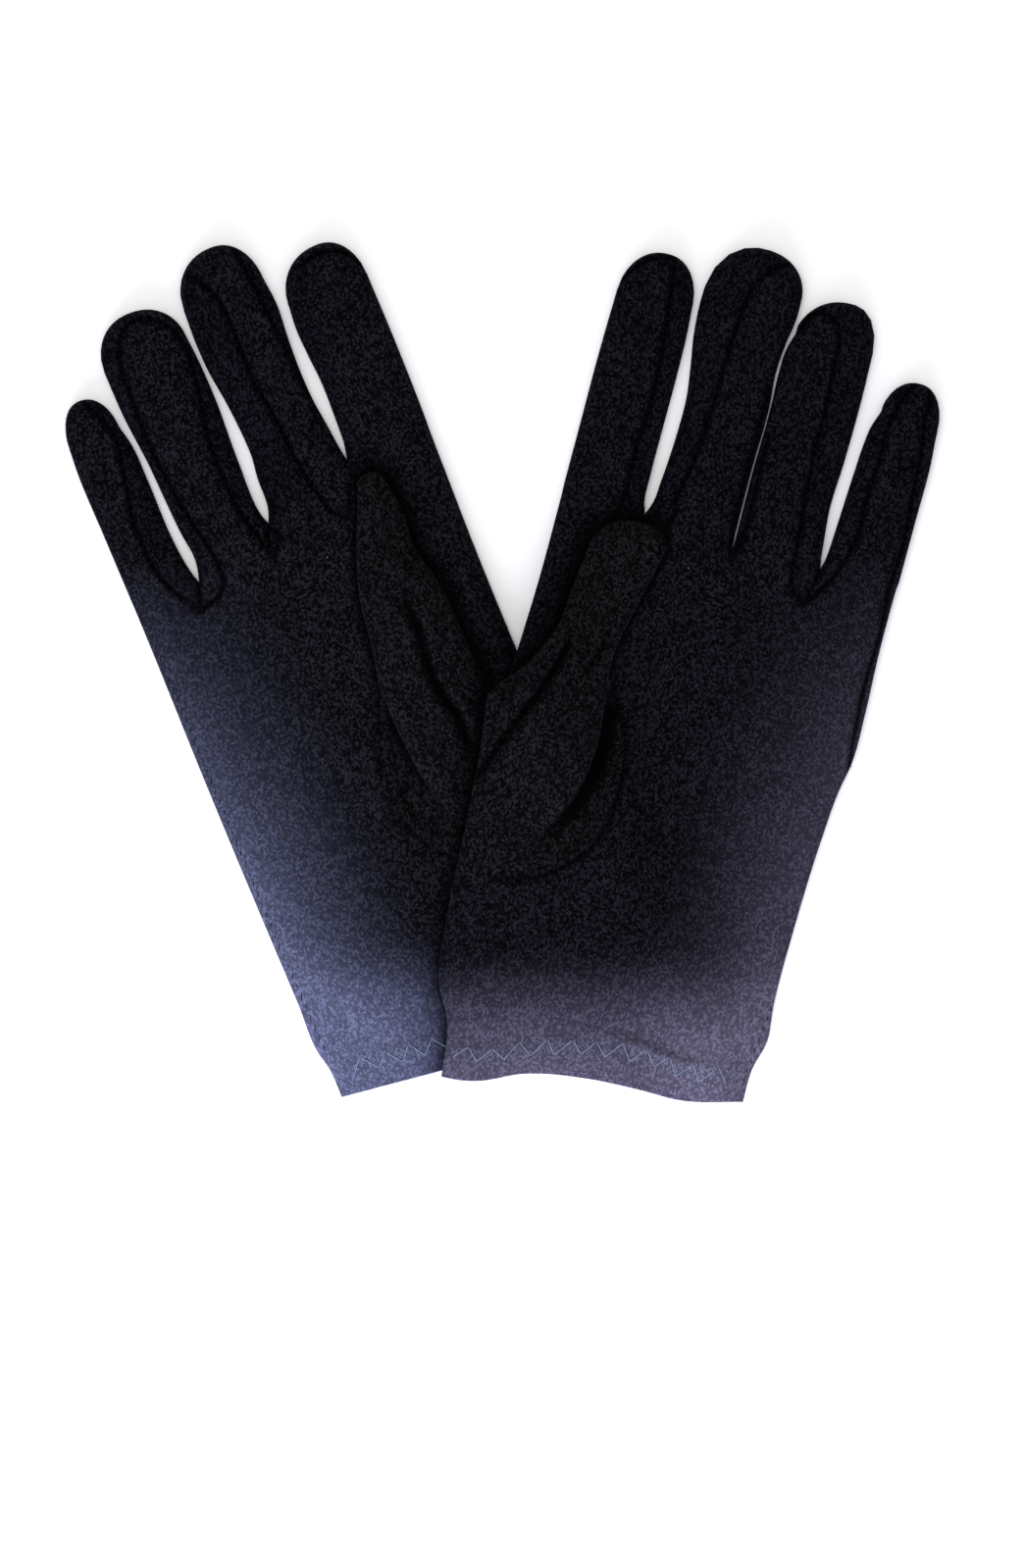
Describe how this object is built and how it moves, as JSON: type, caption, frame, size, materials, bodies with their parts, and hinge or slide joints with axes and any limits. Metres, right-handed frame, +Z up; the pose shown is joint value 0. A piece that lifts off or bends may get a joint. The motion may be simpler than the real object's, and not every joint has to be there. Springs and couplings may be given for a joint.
{
  "type": "pair of wrist-length dress gloves",
  "caption": "Pair of wrist-length stretch dress gloves with side-stripped fingers, inset thumbs and zigzag-hemmed cuffs, lying palm up and crossed.",
  "frame": {"origin": "middle of the pair's footprint, on the surface that it lies on", "axes": "+Z up, +Y from the cuffs towards the fingertips, +X towards the left-hand glove, which leans right"},
  "size_m": [0.237, 0.2328, 0.0211],
  "materials": {
    "glove_jersey": "fine warp-knit nylon and elastane, soft sheen",
    "gusset_jersey": "the same knit, cut on the cross, soft sheen",
    "hem_jersey": "the same knit, seen on its wrong side, matt",
    "seam_thread": "spun polyester thread, matt",
    "hem_thread": "spun polyester thread, pale blue-grey, matt"
  },
  "bodies": {
    "right_hand": {"right_palm_panel": "glove_jersey", "right_back_panel": "glove_jersey", "right_cuff_hem": "hem_jersey", "right_thumb_base": "gusset_jersey", "right_hem_stitches": "hem_thread", "right_side_stitches": "seam_thread", "right_web_stitches": "seam_thread", "right_thumb_opening_stitches": "seam_thread"},
    "right_index_finger": {"right_index_stall": "glove_jersey", "right_index_fourchette": "gusset_jersey", "right_index_stitches": "seam_thread"},
    "right_middle_finger": {"right_middle_stall": "glove_jersey", "right_middle_fourchette_index_side": "gusset_jersey", "right_middle_fourchette_ring_side": "gusset_jersey", "right_middle_stitches": "seam_thread"},
    "right_ring_finger": {"right_ring_stall": "glove_jersey", "right_ring_fourchette_middle_side": "gusset_jersey", "right_ring_fourchette_little_side": "gusset_jersey", "right_ring_stitches": "seam_thread"},
    "right_little_finger": {"right_little_stall": "glove_jersey", "right_little_fourchette": "gusset_jersey", "right_little_stitches": "seam_thread"},
    "right_thumb": {"right_thumb_stall": "glove_jersey", "right_thumb_stitches": "seam_thread"},
    "left_hand": {"left_palm_panel": "glove_jersey", "left_back_panel": "glove_jersey", "left_cuff_hem": "hem_jersey", "left_thumb_base": "gusset_jersey", "left_hem_stitches": "hem_thread", "left_side_stitches": "seam_thread", "left_web_stitches": "seam_thread", "left_thumb_opening_stitches": "seam_thread"},
    "left_index_finger": {"left_index_stall": "glove_jersey", "left_index_fourchette": "gusset_jersey", "left_index_stitches": "seam_thread"},
    "left_middle_finger": {"left_middle_stall": "glove_jersey", "left_middle_fourchette_index_side": "gusset_jersey", "left_middle_fourchette_ring_side": "gusset_jersey", "left_middle_stitches": "seam_thread"},
    "left_ring_finger": {"left_ring_stall": "glove_jersey", "left_ring_fourchette_middle_side": "gusset_jersey", "left_ring_fourchette_little_side": "gusset_jersey", "left_ring_stitches": "seam_thread"},
    "left_little_finger": {"left_little_stall": "glove_jersey", "left_little_fourchette": "gusset_jersey", "left_little_stitches": "seam_thread"},
    "left_thumb": {"left_thumb_stall": "glove_jersey", "left_thumb_stitches": "seam_thread"}
  },
  "joints": [
    {"name": "left_glove_lift", "type": "slide", "parent": "right_hand", "child": "left_hand", "axis": [0, 0, 1], "range_m": [0, 0.06]},
    {"name": "right_index_fold", "type": "hinge", "parent": "right_hand", "child": "right_index_finger", "pos_m": [-0.0289, 0.05996, 0.0068], "axis": [0.9272, 0.3746, 0], "range_deg": [0, 90]},
    {"name": "right_middle_fold", "type": "hinge", "parent": "right_hand", "child": "right_middle_finger", "pos_m": [-0.05231, 0.0505, 0.0068], "axis": [0.9272, 0.3746, 0], "range_deg": [0, 90]},
    {"name": "right_ring_fold", "type": "hinge", "parent": "right_hand", "child": "right_ring_finger", "pos_m": [-0.07297, 0.03568, 0.0068], "axis": [0.9272, 0.3746, 0], "range_deg": [0, 90]},
    {"name": "right_little_fold", "type": "hinge", "parent": "right_hand", "child": "right_little_finger", "pos_m": [-0.09237, 0.02353, 0.0068], "axis": [0.9272, 0.3746, 0], "range_deg": [0, 90]},
    {"name": "right_thumb_fold", "type": "hinge", "parent": "right_hand", "child": "right_thumb", "pos_m": [-0.01855, 0.0059, 0.0134], "axis": [0.9272, 0.3746, 0], "range_deg": [0, 90]},
    {"name": "left_index_fold", "type": "hinge", "parent": "left_hand", "child": "left_index_finger", "pos_m": [0.02789, 0.05484, 0.0068], "axis": [0.9627, -0.2706, 0], "range_deg": [0, 90]},
    {"name": "left_middle_fold", "type": "hinge", "parent": "left_hand", "child": "left_middle_finger", "pos_m": [0.05296, 0.04779, 0.0068], "axis": [0.9627, -0.2706, 0], "range_deg": [0, 90]},
    {"name": "left_ring_fold", "type": "hinge", "parent": "left_hand", "child": "left_ring_finger", "pos_m": [0.07512, 0.03533, 0.0068], "axis": [0.9627, -0.2706, 0], "range_deg": [0, 90]},
    {"name": "left_little_fold", "type": "hinge", "parent": "left_hand", "child": "left_little_finger", "pos_m": [0.09709, 0.02499, 0.0068], "axis": [0.9627, -0.2706, 0], "range_deg": [0, 90]},
    {"name": "left_thumb_fold", "type": "hinge", "parent": "left_hand", "child": "left_thumb", "pos_m": [0.02353, -0.00003, 0.0211], "axis": [0.9627, -0.2706, 0], "range_deg": [0, 90]}
  ]
}
